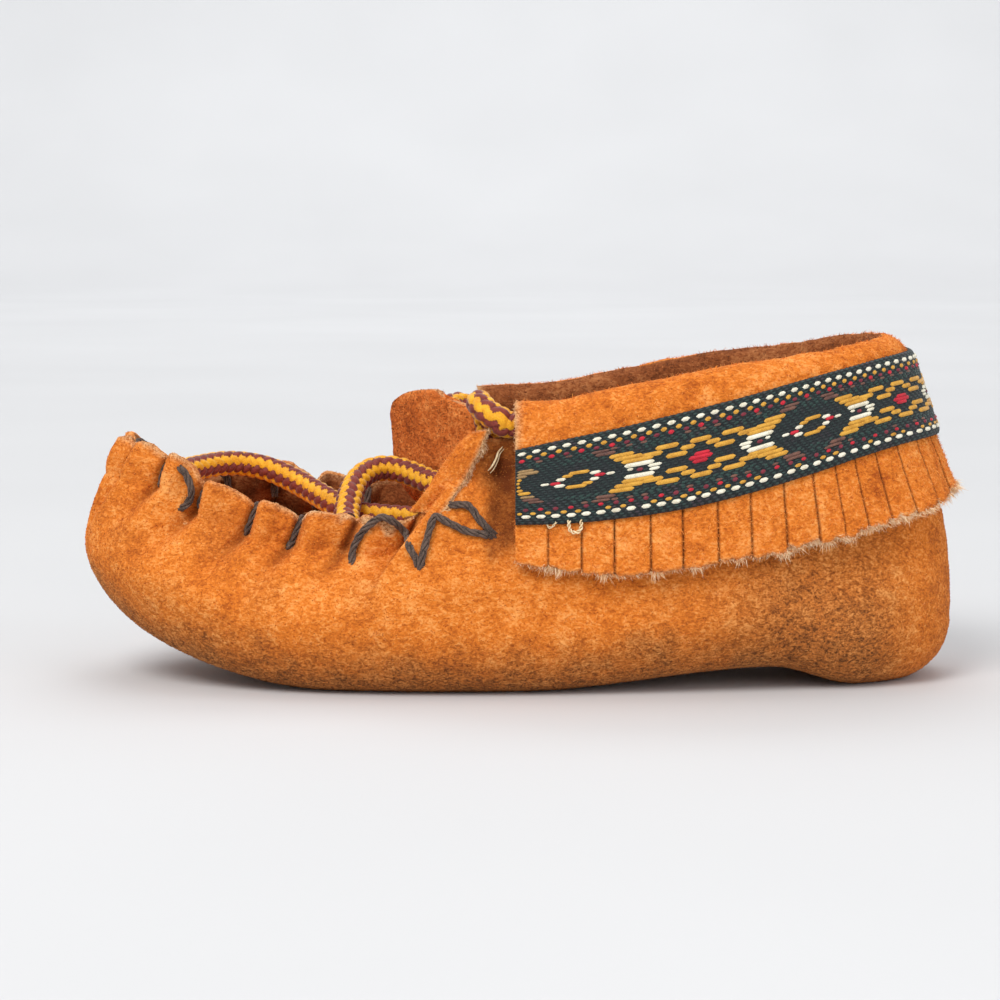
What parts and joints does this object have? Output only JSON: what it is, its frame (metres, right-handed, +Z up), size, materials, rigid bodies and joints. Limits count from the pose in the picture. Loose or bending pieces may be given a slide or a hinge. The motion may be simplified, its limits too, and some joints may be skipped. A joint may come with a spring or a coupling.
{
  "type": "moccasin bootie",
  "caption": "Baby's soft moccasin bootie in orange suede, with a puckered toe, fringed cuff, woven trim and drawstring.",
  "frame": {"origin": "on the floor, under the middle of the bootie's box without the drawstring's free ends", "axes": "+X from toe to heel, +Z up, +Y to the side away from the viewer when the toe points left"},
  "size_m": [0.1258, 0.053, 0.0497],
  "materials": {
    "suede": "rough nap",
    "suede_inside": "rough nap",
    "braid": "woven",
    "cord": "braided"
  },
  "bodies": {
    "root": {"wrap_sole_and_sides": "suede", "vamp_plug": "suede", "tongue": "suede", "insole": "suede_inside", "cuff_with_casing": "suede", "braid_trim": "braid", "drawstring_in_casing": "cord", "drawstring_near_end": "cord", "drawstring_far_end": "cord"}
  },
  "joints": []
}
